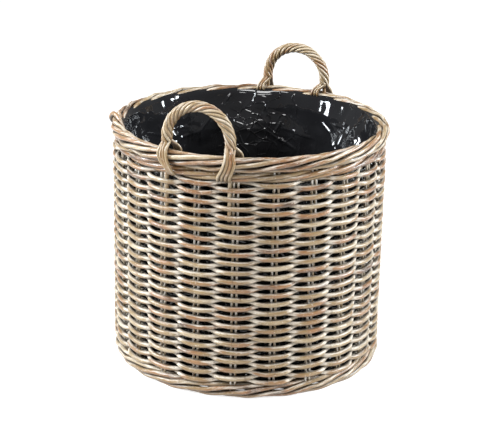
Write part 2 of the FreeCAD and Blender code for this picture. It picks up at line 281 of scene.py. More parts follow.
WASH = (0.62, 0.56, 0.47)
# The colour of the painted shade on the canes' undersides and sides.
PAINTED_SHADE = (0.056, 0.040, 0.027)
CANE_COLOURS = (
    (0.00, (0.41, 0.325, 0.215)),
    (0.28, (0.29, 0.205, 0.106)),
    (0.50, (0.235, 0.148, 0.066)),
    (0.72, (0.27, 0.130, 0.052)),
    (1.00, (0.080, 0.046, 0.027)),
)
SPECK_COLOUR = (0.09, 0.055, 0.035)
KNOT_COLOUR = (0.13, 0.08, 0.05)
KNOT_SPACING = 0.27
KNOT_WIDTH = 0.006
NUMBER_SHIFT = 13.7  # moves the pattern along, so that no two canes are alike
CANE_GLOSS = 0.55

# For each pattern: how often it repeats in a metre across the cane, and how much slower along it.
FIBRES = (1500.0, 0.035)
PATCHES = (95.0, 0.30)
DRIFT = (14.0, 0.6)
COVER = (210.0, 0.16)
SPECKS = (620.0, 0.5)

# How much each pattern moves the cane's own colour along the colour ramp.
DRIFT_SHARE = 1.5
NUMBER_SHARE = 0.45
PATCH_SHARE = 1.0
FIBRE_SHARE = 0.7
RAMP_MIDDLE = 0.45

# How the limewash lies: more in the wall's low places, less where hands and logs rub.
RECESS_COVER = 0.22
FRONT_COVER = -0.08
WASH_EDGE = (0.66, 0.84)
WASH_REACH = 0.24
MOST_WASH = 0.9
# How dark the painted shade on the canes' sides and backs gets.
MOST_PAINTED_SIDE_SHADE = 0.80


def cane_coordinates(nodes):
    """Length along a cane, and a seamless pair of coordinates round it, shifted for each cane; also a mask
    for painted shade on the cane's sides and back.
    """
    uv = nodes.add("UVMap", uv_map="cane").outputs[0]
    split = nodes.add("SeparateXYZ")
    nodes.link(uv, split.inputs[0])
    turn = nodes.math("MULTIPLY", split.outputs[1], 2 * math.pi)
    number = nodes.add("Attribute", attribute_name="number").outputs["Fac"]
    shift = nodes.math("MULTIPLY", number, NUMBER_SHIFT)
    along = nodes.math("ADD", split.outputs[0], shift)
    across = nodes.math("MULTIPLY", nodes.math("COSINE", turn), CANE_RADIUS)
    up = nodes.math("MULTIPLY", nodes.math("SINE", turn), CANE_RADIUS)
    # Painted shade: the cane's sides and back, turned away from its outward face, are marked for
    # darkening.
    painted_side_shade = nodes.band(nodes.math("COSINE", turn), 0.62, -0.15, 0.0, 1.0)
    return along, across, up, number, painted_side_shade


def rod_coordinates(nodes):
    """The same for the straight rods of the frame, which stand along Z."""
    where = nodes.add("TexCoord").outputs["Object"]
    split = nodes.add("SeparateXYZ")
    nodes.link(where, split.inputs[0])
    spread = nodes.noise(where, 3.0, detail=0.0)
    return split.outputs[2], split.outputs[0], split.outputs[1], spread, 0.0


def cane_material(
    name, coordinates, colours=CANE_COLOURS, wash=0.5, tone=0.0, colour_wash=WASH, painted_underside_shade=0.7, recess=None
):
    """Whitewashed cane: fibres, worn colour patches, limewash in the low places, specks and knots, with
    painted shade on its undersides and sides.

    recess gives two wall radii: up to the first the limewash is thickest, from the second on it
    has mostly worn off.
    """
    nodes = Nodes(name)
    along, across, up, number, painted_side_shade = coordinates(nodes)

    def along_cane(pattern, detail, roughness=0.55):
        scale, stretch = pattern
        space = nodes.combine(nodes.math("MULTIPLY", along, stretch), across, up)
        return nodes.noise(space, scale, detail=detail, roughness=roughness)

    fibres = along_cane(FIBRES, 2.0)
    patches = along_cane(PATCHES, 4.0, roughness=0.6)
    drift_scale, drift_stretch = DRIFT
    drift_space = nodes.combine(nodes.math("MULTIPLY", along, drift_stretch), number, 0.0)
    drift = nodes.noise(drift_space, drift_scale, detail=1.0)

    spread = nodes.math("ADD", nodes.swing(drift, DRIFT_SHARE), nodes.swing(number, NUMBER_SHARE))
    worn = nodes.math("ADD", nodes.swing(patches, PATCH_SHARE), nodes.swing(fibres, FIBRE_SHARE))
    mixed = nodes.math("ADD", spread, worn)
    base = nodes.ramp(nodes.math("ADD", mixed, RAMP_MIDDLE + tone, clamp=True), colours)

    facing = nodes.add("SeparateXYZ")
    nodes.link(nodes.add("TexCoord").outputs["Normal"], facing.inputs[0])
    upward = facing.outputs[2]
    cover = nodes.math("ADD", along_cane(COVER, 5.0), nodes.swing(fibres, 0.55))
    # More limewash on upward-facing sides and less on downward-facing ones: partly real wash, partly a
    # painted highlight on the tops.
    cover = nodes.math("ADD", cover, nodes.band(upward, -0.5, 0.6, -0.10, 0.08))
    if recess:
        where = nodes.add("SeparateXYZ")
        nodes.link(nodes.add("TexCoord").outputs["Object"], where.inputs[0])
        squares = [nodes.math("MULTIPLY", where.outputs[axis], where.outputs[axis]) for axis in (0, 1)]
        radius = nodes.math("SQRT", nodes.math("ADD", *squares))
        cover = nodes.math("ADD", cover, nodes.band(radius, *recess, RECESS_COVER, FRONT_COVER))
    bare, covered = (edge - WASH_REACH * wash for edge in WASH_EDGE)
    limewash = nodes.band(cover, bare, covered, 0.0, MOST_WASH)
    colour = nodes.mix(limewash, base, colour_wash)

    specks = along_cane(SPECKS, 1.0)
    colour = nodes.mix(nodes.band(specks, 0.66, 0.71, 0.0, 0.75), colour, SPECK_COLOUR)
    colour = nodes.mix(nodes.band(specks, 0.33, 0.28, 0.0, 0.75), colour, colour_wash)

    period = nodes.math("FRACT", nodes.math("MULTIPLY", along, 1 / KNOT_SPACING))
    from_knot = nodes.math("ABSOLUTE", nodes.math("SUBTRACT", period, 0.5))
    knot = nodes.band(from_knot, 0.0, KNOT_WIDTH, 1.0, 0.0)
    colour = nodes.mix(nodes.math("MULTIPLY", knot, 0.6), colour, KNOT_COLOUR)

    # Painted shade: the downward-facing undersides of the canes are darkened.
    under = nodes.math("MULTIPLY", nodes.band(upward, -0.10, -0.85, 0.0, 1.0), painted_underside_shade)
    colour = nodes.mix(under, colour, PAINTED_SHADE)
    # Painted shade: the sides and back of each cane are darkened as well.
    colour = nodes.mix(nodes.math("MULTIPLY", painted_side_shade, MOST_PAINTED_SIDE_SHADE), colour, PAINTED_SHADE)

    nodes.link(colour, nodes.shader.inputs["Base Color"])
    nodes.link(nodes.band(limewash, 0.0, 1.0, 0.30, 0.46), nodes.shader.inputs["Roughness"])
    nodes.shader.inputs["Specular IOR Level"].default_value = CANE_GLOSS
    fine = nodes.bump(fibres, 0.35 * MM, 0.7)
    coarse = nodes.bump(patches, 0.9 * MM, 0.5, normal=fine)
    ridge = nodes.bump(knot, 0.5 * MM, 0.7, normal=coarse)
    nodes.link(ridge, nodes.shader.inputs["Normal"])
    return nodes.material


FILM_IOR = 1.45
FILM_SHADES = ((0.3, (0.007, 0.007, 0.008)), (0.7, (0.014, 0.014, 0.015)))
FILM_SHADE_SCALE = 6.0
BEND_SCALE = 7.0  # how the crease lines bend
BEND_REACH = 0.05
WOBBLE_SCALE = 17.0
WOBBLE_HEIGHT = 9.0 * MM
CREASE_EDGE = 0.04
CREASE_LAYERS = (
    # creases in a metre, a crease's width, its height, the scale of its zones, where they begin
    (19.0, 2.2 * MM, 0.8 * MM, 8.0, 0.60),
    (48.0, 1.6 * MM, 0.7 * MM, 6.0, 0.60),
)
CURL_SCALE = 24.0
CURL_WIDTH = 0.022
CURL_HEIGHT = 1.0 * MM
CURL_ZONES = 7.0
DUST_SCALE = 900.0


def film_material():
    """Glossy black film: a slight wobble, fine creases and curls in places, and some dust."""
    nodes = Nodes("black_film")
    where = nodes.add("TexCoord").outputs["Object"]
    bend = nodes.add("TexNoise")
    nodes.link(where, bend.inputs["Vector"])
    bend.inputs["Scale"].default_value = BEND_SCALE
    offset = nodes.add("VectorMath", operation="SCALE")
    nodes.link(bend.outputs["Color"], offset.inputs[0])
    offset.inputs["Scale"].default_value = BEND_REACH
    moved = nodes.add("VectorMath", operation="ADD")
    nodes.link(where, moved.inputs[0])
    nodes.link(offset.outputs[0], moved.inputs[1])
    normal = nodes.bump(nodes.noise(where, WOBBLE_SCALE, detail=1.0), WOBBLE_HEIGHT)
    for scale, width, height, zones, begin in CREASE_LAYERS:
        cells = nodes.add("TexVoronoi", feature="DISTANCE_TO_EDGE")
        nodes.link(moved.outputs[0], cells.inputs["Vector"])
        cells.inputs["Scale"].default_value = scale
        line = nodes.band(cells.outputs["Distance"], 0.0, width * scale, 1.0, 0.0)
        zone = nodes.noise(where, zones, detail=0.0)
        shown = nodes.band(zone, begin - CREASE_EDGE, begin + CREASE_EDGE, 0.0, 1.0)
        normal = nodes.bump(nodes.math("MULTIPLY", line, shown), height, normal=normal)
    curl = nodes.noise(moved.outputs[0], CURL_SCALE, detail=0.0)
    line = nodes.band(nodes.math("ABSOLUTE", nodes.math("SUBTRACT", curl, 0.5)), 0.0, CURL_WIDTH, 1.0, 0.0)
    shown = nodes.band(nodes.noise(where, CURL_ZONES, detail=0.0), 0.54, 0.60, 0.0, 1.0)
    normal = nodes.bump(nodes.math("MULTIPLY", line, shown), CURL_HEIGHT, normal=normal)
    dust = nodes.band(nodes.noise(where, DUST_SCALE, detail=2.0), 0.55, 0.75, 0.05, 0.14)
    nodes.link(dust, nodes.shader.inputs["Roughness"])
    shade = nodes.ramp(nodes.noise(where, FILM_SHADE_SCALE), FILM_SHADES)
    nodes.link(shade, nodes.shader.inputs["Base Color"])
    nodes.shader.inputs["IOR"].default_value = FILM_IOR
    nodes.link(normal, nodes.shader.inputs["Normal"])
    return nodes.material


STAKE_WASH = (0.80, 0.77, 0.72)
weaving_cane = cane_material(
    "weaving_cane",
    cane_coordinates,
    recess=(STAKE_RADIUS + 1.2 * CANE_RADIUS, STAKE_RADIUS + 2.4 * CANE_RADIUS),
)
# The border and waling canes get stronger painted shade on their undersides.
border_cane = cane_material("border_cane", cane_coordinates, tone=0.07, wash=0.52, painted_underside_shade=0.85)
wale_cane = cane_material("wale_cane", cane_coordinates, tone=0.16, wash=0.28, painted_underside_shade=0.95)
handle_cane = cane_material("handle_cane", cane_coordinates, tone=-0.04, wash=0.40)
base_cane = cane_material("base_cane", cane_coordinates, tone=0.10, wash=0.25)
stake_cane = cane_material("stake_cane", rod_coordinates, tone=-0.25, wash=0.95, colour_wash=STAKE_WASH)
rod_wood = cane_material("rod_wood", rod_coordinates, tone=0.12, wash=0.1)
black_film = film_material()

# ---------------------------------------------------------------- woven siding

SWING = CANE_RADIUS + (stake_high.y - stake_low.y) / 2
WALL_INSIDE = STAKE_RADIUS - SWING - CANE_RADIUS
SAG = 2.3 * MM  # how far a strand hangs down in front of its stakes
DIVE = 2.0  # how steeply a strand dives between the stakes
PRESSED = 0.93  # a strand's thickness where two rows cross
FREE = 0.17  # how much thicker it is between the crossings
ROW_UNEVEN = 0.45 * MM
WALL_UNEVEN = 0.55 * MM
DEPTH_UNEVEN = 0.35 * MM
ROWS_ALIKE = 3  # rows that rise and fall together
ROW_THICKNESSES = (0.96, 1.04)
THICKNESS_UNEVEN = 0.04
# Each use of the random numbers has its own seeds, counted up from these.
ROW_SEED = 5000
LIFT_SEED = 900
OWN_SEED = 300
THICKNESS_SEED = 700


def weave_course(canes, height, step):
    """One row of plain weave: in front of one pair of stakes and behind the next."""
    angle = np.arange(STAKE_COUNT * SAMPLES) * SPACING / SAMPLES
    beat = np.cos((angle - FRONT) / SPACING * math.pi + math.pi * step)
    swing = np.tanh(DIVE * beat) / math.tanh(DIVE)
    radius = STAKE_RADIUS + SWING * swing + DEPTH_UNEVEN * noise_wave(angle, step, waves=5, low=5, high=30)
    lift = WALL_UNEVEN * noise_wave(angle, LIFT_SEED + step // ROWS_ALIKE, waves=4, low=2, high=7)
    lift = lift - SAG * beat
    own = ROW_UNEVEN * noise_wave(angle, OWN_SEED + step, waves=5, low=6, high=25)
    path = around(radius, angle, height + lift + own)
    draw = random.Random(ROW_SEED + step)
    uneven = 1 + THICKNESS_UNEVEN * noise_wave(angle, THICKNESS_SEED + step, waves=4, low=3, high=14)
    thick = CANE_RADIUS * draw.uniform(*ROW_THICKNESSES) * uneven
    thick = thick * (PRESSED + FREE * np.abs(beat))
    outward = around(np.ones_like(angle), angle, 0.0)
    canes.add(path, thick, outward, draw.random(), closed=True)


def siding():
    for band, node in enumerate(BANDS):
        canes = Canes()
        for row in range(COURSES_PER_BAND):
            step = band * COURSES_PER_BAND + row
            weave_course(canes, FOOT_TOP + (step + 0.5) * COURSE, step)
        canes.build(f"siding_weave_{band + 1}", weaving_cane, [node])


# ---------------------------------------------------------------- waling under the rim


WALE_RODS = 3
WALE_IN_FRONT = 0.70  # share of its way that a rod lies in front
WALE_CLIMB = 13.5 * MM
WALE_START = 0.1
WALE_BLUNT = 0.4  # the lower, the flatter a rod's way in front
WALE_RECESS = 3.0 * MM  # how far the waling lies back from the CAD ring
WALE_SINK = 2 * MM
WALE_BEHIND = 5.0 * MM
WALE_DROP = 0.5 * MM
WALE_UNEVEN = 0.6 * MM
WALE_NUMBER = 0.55
WALE_THICKNESS_UNEVEN = 0.05


def upper_wale():
    """Three rods wound together, each in front of two pairs of stakes and behind the third."""
    canes = Canes()
    angle = np.arange(STAKE_COUNT * SAMPLES * WALE_RODS) * SPACING / SAMPLES
    phase = (angle - FRONT) / SPACING / WALE_RODS + WALE_START
    phase = phase - np.floor(phase)
    in_front = WALE_IN_FRONT
    behind = (phase - in_front) / (1 - in_front)
    bulge = (0.5 - 0.5 * np.cos(np.clip(phase / in_front, 0, 1) * 2 * math.pi)) ** WALE_BLUNT
    back = np.where(phase > in_front, np.sin(behind * math.pi), 0.0)
    outside = WALE_RADIUS - WALE_CANE_RADIUS - WALE_RECESS
    inside = STAKE_RADIUS - WALE_SINK
    radius = inside + (outside - inside) * bulge - WALE_BEHIND * back
    rise = np.where(phase < in_front, phase / in_front - 0.5, 0.5 - behind)
    wander = WALE_UNEVEN * noise_wave(angle, 41, waves=5, low=3, high=20)
    middle = (WALE_BOTTOM + RIM_BOTTOM) / 2 - WALE_DROP
    path = around(radius, angle, middle + WALE_CLIMB * rise + wander)
    uneven = noise_wave(angle, 61, waves=4, low=2, high=9)
    thick = WALE_CANE_RADIUS * (1 + WALE_THICKNESS_UNEVEN * uneven)
    outward = around(np.ones_like(angle), angle, 0.0)
    canes.add(path, thick, outward, WALE_NUMBER, closed=True)
    canes.build("upper_wale_canes", wale_cane, ["upper_wale"])


# ---------------------------------------------------------------- rolled borders


STAIR = 0.35  # how much a border cane climbs in steps, from one stake pair to the next
FLATNESS = 0.85  # below 1 the roll's section is squarer than an oval
BORDER_SHIFT = 0.02  # how far a cane may start away from its place, in radians
BORDER_THICKNESSES = (0.92, 1.04)
BORDER_THICKNESS_UNEVEN = 0.05
BORDER_START = 0.2
BORDER_PROUD = 1.1 * MM
BORDER_UNEVEN = 0.5 * MM
SCALLOP_AT = math.radians(125)
SCALLOP_SPREAD = math.radians(40)
SHARPEST = 6  # how quickly a scallop falls back


def squared(value):
    """A sine or cosine made flatter near its ends."""
    return np.sign(value) * np.abs(value) ** FLATNESS


def rolled_border(canes, centre, half, start, end, canes_round, seed, scallop):
    """Canes wound round the rim at a slow pitch, one for each pair of stakes.

    centre is the roll's (radius, height), half its half width and height to the canes' middles.
    Each cane runs from girth angle start to end, where 0 is the outside and 90 degrees the top.
    """
    slot = 2 * math.pi / canes_round
    spacings = (end - start) / slot
    for number in range(STAKE_COUNT):
        draw = random.Random(seed + number)
        steps = np.linspace(0, spacings, int(spacings * SAMPLES))
        stair = steps - STAIR * np.sin(2 * math.pi * steps) / (2 * math.pi)
        girth = start + slot * stair
        angle = FRONT + SPACING * (number + BORDER_START + steps) + BORDER_SHIFT * draw.uniform(-1, 1)
        saw = 0.5 - (steps - np.floor(steps))
        saw = saw * np.minimum(1, SHARPEST * (0.5 - np.abs(saw)))
        near_edge = np.exp(-(((girth - SCALLOP_AT) / SCALLOP_SPREAD) ** 2))
        proud = (BORDER_PROUD + scallop * near_edge) * saw * 2 + BORDER_UNEVEN * draw.uniform(-1, 1)
        proud = proud * np.clip(0.9 + np.cos(girth), 0, 1)
        across = squared(np.cos(girth))
        up = squared(np.sin(girth))
        radius = centre[0] + (half[0] + proud) * across
        height = centre[1] + (half[1] + proud) * up
        wander = BORDER_UNEVEN * noise_wave(angle, seed + 50 + number, waves=4, low=6, high=22)
        path = around(radius + wander, angle, height)
        radial = around(np.ones_like(angle), angle, 0.0)
        outward = radial * across[:, None] + np.array([[0, 0, 1]]) * up[:, None]
        thick = BORDER_CANE_RADIUS * draw.uniform(*BORDER_THICKNESSES)
        uneven = noise_wave(angle, seed + 90 + number, waves=3, low=4, high=16)
        thick = thick * (1 + BORDER_THICKNESS_UNEVEN * uneven)
        canes.add(path, thick, outward, draw.random())


def top_border():
    canes = Canes()
    centre = ((RIM_RADIUS + RIM_INSIDE) / 2, (RIM_TOP + RIM_BOTTOM) / 2)
    half = (
        (RIM_RADIUS - RIM_INSIDE) / 2 - BORDER_CANE_RADIUS,
        (RIM_TOP - RIM_BOTTOM) / 2 - BORDER_CANE_RADIUS,
    )
    start, end = math.radians(-120), math.radians(215)
    rolled_border(canes, centre, half, start, end, canes_round=5.8, seed=2000, scallop=2.8 * MM)
    loop_cane(canes)
    canes.build("top_border_canes", border_cane, ["top_border"])


LOOP_ANGLE = math.radians(-158)
LOOP_NUMBER = 0.9


def loop_cane(canes):
    """One border cane that crosses the rim in a raised loop, with a gap under it."""
    places = (
        # millimetres inward from the rim's outer edge, along the rim, above its top
        (3, -14, -16),
        (-1, -6, -5),
        (4, 3, 5),
        (12, 15, 3),
        (19, 29, -6),
    )
    path = []
    for inward, along, above in places:
        angle = LOOP_ANGLE + along * MM / RIM_RADIUS
        radius = RIM_RADIUS - inward * MM
        path.append([radius * math.cos(angle), radius * math.sin(angle), RIM_TOP + above * MM])
    path = smooth(path)
    outward = path * np.array([[1, 1, 0]]) / RIM_RADIUS + np.array([[0, 0, 1]])
    canes.add(path, BORDER_CANE_RADIUS, outward, LOOP_NUMBER)


FOOT_INWARD = 0.6 * MM
FOOT_LIFT = 0.2 * MM


def foot_border():
    canes = Canes()
    width = WALL_RADIUS - STAKE_RADIUS
    centre = (WALL_RADIUS - width - FOOT_INWARD, FOOT_TOP / 2 + FOOT_LIFT)
    half = (width - BORDER_CANE_RADIUS + FOOT_INWARD, FOOT_TOP / 2 - BORDER_CANE_RADIUS)
    start, end = math.radians(-190), math.radians(170)
    rolled_border(canes, centre, half, start, end, canes_round=6.0, seed=3000, scallop=0.8 * MM)
    canes.build("foot_border_canes", border_cane, ["foot_border"])


# ---------------------------------------------------------------- woven base


SLATH_RADIUS = 62 * MM
BASE_UNEVEN = 0.4 * MM
BASE_THINNER = 0.98


def base():
    """Rows of cane round the crossed base sticks, each waving against the next."""
    canes = Canes()
    inside = SLATH_RADIUS + CANE_RADIUS
    outside = base_high.x - CANE_RADIUS
    middle = (base_low.z + base_high.z) / 2
    rows = int((outside - inside) / (2 * CANE_RADIUS)) + 1
    angle = np.arange(STAKE_COUNT * SAMPLES) * SPACING / SAMPLES
    reach = (base_high.z - base_low.z) / 2 - CANE_RADIUS
    for row in range(rows):
        radius = inside + (outside - inside) * row / (rows - 1)
        swing = np.cos((angle - FRONT) / SPACING * math.pi + math.pi * row)
        wander = BASE_UNEVEN * noise_wave(angle, 110 + row, waves=4)
        path = around(radius + wander, angle, middle + reach * swing)
        outward = np.tile([0.0, 0.0, -1.0], (len(angle), 1))
        number = random.Random(130 + row).random()
        canes.add(path, CANE_RADIUS * BASE_THINNER, outward, number, closed=True)
    canes.build("base_weave_canes", base_cane, ["base_weave"])


# ---------------------------------------------------------------- roped handles

ROPE_CANES = 7
ROPE_CANE_RADIUS = 2.85 * MM
ROPE_PITCH = 82 * MM
ROPE_STEP = 3 * MM
ROPE_SIDES = 10
ROPE_UNEVEN = 0.25 * MM
ROPE_THICKNESSES = (0.93, 1.05)
ROPE_THICKNESS_UNEVEN = 0.05
OUTER_CANES = 4  # of the seven, those that fork over the outside
OUTER_FORK = 13 * MM
INNER_FORK = 15 * MM
# Left and right leg: how wide the outer lashing's foot is, and how far it lies along the rim.
LASH_SPREAD = {-1: 7 * MM, 1: 19 * MM}
LASH_SHIFT = {-1: 15 * MM, 1: -9 * MM}
LASH_WAIST = 16 * MM
INNER_SPREAD = 12 * MM
INNER_SHIFT = 13 * MM
SMOOTH_STEP = 2.5 * MM
NUDGE = 1e-4  # keeps a direction from being nought


def smooth(points, step=SMOOTH_STEP):
    """A smooth line through points, sampled evenly: Catmull-Rom between each pair."""
    points = np.asarray(points, float)
    padded = np.vstack([2 * points[0] - points[1], points, 2 * points[-1] - points[-2]])
    pieces = []
    for index in range(len(points) - 1):
        a, b, c, d = padded[index : index + 4]
        count = max(2, int(np.linalg.norm(c - b) / step))
        share = np.linspace(0, 1, count, endpoint=False)[:, None]
        pieces.append(
            0.5
            * (
                2 * b
                + (c - a) * share
                + (2 * a - 5 * b + 4 * c - d) * share**2
                + (3 * b - a - 3 * c + d) * share**3
            )
        )
    return np.vstack([*pieces, points[-1:]])


def handle_line(distance):
    """Place, outward-in-plane direction, at a distance along the front handle's middle line."""
    leg = HANDLE_SPRING - RIM_TOP
    arch = math.pi * HANDLE_RADIUS
    if distance < leg:
        return Vector((-HANDLE_RADIUS, -HANDLE_PLANE, RIM_TOP + distance)), Vector((-1, 0, 0))
    if distance < leg + arch:
        turn = math.pi - (distance - leg) / HANDLE_RADIUS
        away = Vector((math.cos(turn), 0, math.sin(turn)))
        return Vector((0, -HANDLE_PLANE, HANDLE_SPRING)) + away * HANDLE_RADIUS, away
    fall = distance - leg - arch
    return Vector((HANDLE_RADIUS, -HANDLE_PLANE, HANDLE_SPRING - fall)), Vector((1, 0, 0))


def leg_point(side, along, out, height):
    """A place near a leg's foot: along the rim, outward from the leg's middle, and up."""
    angle = FRONT + side * LEG_ANGLE + along / LEG_RADIUS
    radius = LEG_RADIUS + out
    return [radius * math.cos(angle), radius * math.sin(angle), height]


def outer_lash(side, order, total):
    """From inside the wall, out under the waling and up the border's face to the leg."""
    share = order / (total - 1) - 0.5
    foot = share * LASH_SPREAD[side] + LASH_SHIFT[side]
    waist = share * LASH_WAIST
    return [
        leg_point(side, foot, -1 * MM, WALE_BOTTOM + 1 * MM),
        leg_point(side, foot, 9.0 * MM, WALE_BOTTOM + 4 * MM),
        leg_point(side, foot * 0.9 + waist * 0.1, 13.4 * MM, WALE_BOTTOM + 11 * MM),
        leg_point(side, foot * 0.35 + waist * 0.65, 14.8 * MM, WALE_BOTTOM + 23 * MM),
        leg_point(side, waist, 14.0 * MM, RIM_TOP - 8 * MM),
        leg_point(side, waist * 0.8, 11.0 * MM, RIM_TOP + 3 * MM),
    ]


def inner_lash(side, order, total):
    """From behind the film over the rim's inner edge, leaning to one side, up to the leg."""
    share = order / (total - 1) - 0.5
    lean = INNER_SHIFT + share * INNER_SPREAD
    return [
        leg_point(side, lean, -11.0 * MM, RIM_TOP - 9 * MM),
        leg_point(side, lean, -13.5 * MM, RIM_TOP - 3 * MM),
        leg_point(side, lean * 0.85, -10.5 * MM, RIM_TOP + 5 * MM),
    ]


def rope_angle(cane, distance):
    return 2 * math.pi * (cane / ROPE_CANES - distance / ROPE_PITCH)


def handle(name, turned, seed):
    """Seven canes twisted round the rod; at each leg they fork astride the border."""
    length = 2 * (HANDLE_SPRING - RIM_TOP) + math.pi * HANDLE_RADIUS
    reach = ROPE_RADIUS - ROPE_CANE_RADIUS
    canes = Canes()
    forks = {}
    for side, foot in ((-1, 0.0), (1, length)):
        split = foot + (OUTER_FORK if side < 0 else -OUTER_FORK)
        places = []
        for cane in range(ROPE_CANES):
            angle = rope_angle(cane, split)
            places.append((math.sin(angle), side * math.cos(angle), cane))
        places.sort(reverse=True)
        outer = sorted(places[:OUTER_CANES], key=lambda place: place[1])
        inner = sorted(places[OUTER_CANES:], key=lambda place: place[1])
        for order, (_, _, cane) in enumerate(outer):
            forks[side, cane] = (outer_lash(side, order, len(outer)), OUTER_FORK)
        for order, (_, _, cane) in enumerate(inner):
            forks[side, cane] = (inner_lash(side, order, len(inner)), INNER_FORK)
    for cane in range(ROPE_CANES):
        draw = random.Random(seed + cane)
        left, left_fork = forks[-1, cane]
        right, right_fork = forks[1, cane]
        rope = []
        for distance in np.arange(left_fork, length - right_fork, ROPE_STEP):
            middle, away = handle_line(distance)
            angle = rope_angle(cane, distance)
            offset = away * math.cos(angle) + Vector((0, -1, 0)) * math.sin(angle)
            uneven = ROPE_UNEVEN * math.sin(distance * 90 + cane * 2)
            rope.append(list(middle + offset * (reach + uneven)))
        path = smooth(left + rope + right[::-1])
        outward = []
        for point in path:
            if point[2] > HANDLE_SPRING:
                core = Vector((point[0], 0, point[2] - HANDLE_SPRING)).normalized() * HANDLE_RADIUS
                core = core + Vector((0, -HANDLE_PLANE, HANDLE_SPRING))
            else:
                core = Vector((math.copysign(HANDLE_RADIUS, point[0]), -HANDLE_PLANE, point[2]))
            outward.append(list(Vector(point) - core + Vector((0, -NUDGE, 0))))
        if turned:
            path = path * np.array([[-1, -1, 1]])
            outward = np.array(outward) * np.array([[-1, -1, 1]])
        thick = ROPE_CANE_RADIUS * draw.uniform(*ROPE_THICKNESSES)
        wave = np.sin(np.linspace(0, 25, len(path)) + draw.uniform(0, SHORT_PHASES))
        thick = thick * (1 + ROPE_THICKNESS_UNEVEN * wave)
        canes.add(path, thick, np.array(outward), draw.random(), sides=ROPE_SIDES)
    lashings = [
        f"{name}_{side}_{where}_lashing" for side in ("left", "right") for where in ("outer", "inner")
    ]
    canes.build(f"{name}_handle_canes", handle_cane, [f"{name}_handle_roping", *lashings])


# ---------------------------------------------------------------- crinkled film liner


LINER_COLUMNS = 690
LINER_ROWS = 132
FLOOR_ROWS = 12
ROWS_TO_TOP = 0.45  # above 0 the rows lie closer together near the rim
FILM_EDGE = 4.5 * MM  # below the rim's top
FILM_THICK = 0.6 * MM
FILM_CLEAR = 1.2 * MM  # between the film and the cane
FLOOR_DOME = 2 * MM
FLOOR_RIPPLE = 0.0035
RIPPLE_TURN = 0.9
# The film's section below its edge: depth, and how far it lies outside its place on the wall.
NECK_DEPTHS = (0.0, 0.0035, 0.008, 0.035)
NECK_OUTWARD = (6.5 * MM, 1.5 * MM, 0.0, 0.0)
CRUMPLE_SHARE = 0.55
PLEAT_SHARE = 0.5
CREASE_WIDTH = 3.4 * MM
CREASE_COUNT = 70
CREASE_TAPER = 0.6  # how much lower a crease is at its ends
FOLD_BEND = 0.12  # how much a long fold bends
# Depths where the folds, the pleats and the creases begin, and over which they grow to full size.
FOLDS_FROM, FOLDS_OVER = 0.004, 0.07
PLEATS_FROM, PLEATS_OVER = 0.003, 0.030
CREASES_FROM, CREASES_OVER = 0.006, 0.01
PLEATS_FADE = 0.09
PLEAT_SLOWNESS = 0.3  # pleats change this much more slowly downwards than round the basket
PLEATS_LEFT = 0.35  # the share of a pleat that reaches the base
FLOOR_EASE = 0.02  # height over which the folds die out above the base


def folds(angle, depth, seed, count, short, long, steep, slant=1.0):
    """Creases with flat facets between, as in crumpled film; slant 0 makes them all upright."""
    draw = random.Random(seed)
    total = np.zeros_like(angle)
    for _ in range(count):
        length = draw.uniform(short, long)
        lean = draw.uniform(-1, 1) * slant * math.pi / 2
        turns = round(2 * math.pi * WALL_INSIDE * math.cos(lean) / length)
        rise = math.sin(lean) / length
        beat = angle * turns / (2 * math.pi) + depth * rise + draw.random()
        bend = angle * draw.randint(2, 4) + depth * draw.uniform(6, 12) + draw.uniform(0, SHORT_PHASES)
        beat = beat + FOLD_BEND * np.sin(bend)
        wave = np.abs(2 * (beat - np.floor(beat)) - 1)
        round_place = np.sin(angle * draw.randint(2, 6) + draw.uniform(0, SHORT_PHASES))
        place = round_place * np.sin(depth * draw.uniform(9, 18) + draw.uniform(0, SHORT_PHASES))
        total += wave * length * steep * np.clip(0.35 + 1.6 * place, 0, 1)
    return total


def creases(arc, depth, seed, count):
    """Thin sharp ridges in zigzags, as where film was pinched: each stroke starts where one ended."""
    draw = random.Random(seed)
    girth = 2 * math.pi * WALL_INSIDE
    total = np.zeros_like(arc)
    for _ in range(count):
        start = [draw.uniform(0, girth), draw.uniform(0.01, 0.22)]
        heading = draw.uniform(0, 2 * math.pi)
        for _ in range(draw.randint(1, 4)):
            length = draw.uniform(0.02, 0.085)
            reach = (length * math.cos(heading), length * math.sin(heading))
            across = (arc - start[0] + girth / 2) % girth - girth / 2
            down = depth - start[1]
            share = np.clip((across * reach[0] + down * reach[1]) / length**2, 0, 1)
            gap = np.hypot(across - share * reach[0], down - share * reach[1])
            height = draw.uniform(1.0, 3.0) * MM * (1 - CREASE_TAPER * np.abs(2 * share - 1))
            ridge = height * (0.5 + 0.5 * np.cos(math.pi * np.clip(gap / CREASE_WIDTH, 0, 1)))
            total = np.maximum(total, ridge)
            start = [start[0] + reach[0], start[1] + reach[1]]
            heading += math.pi + draw.choice((-1, 1)) * draw.uniform(0.5, 1.6)
    return total


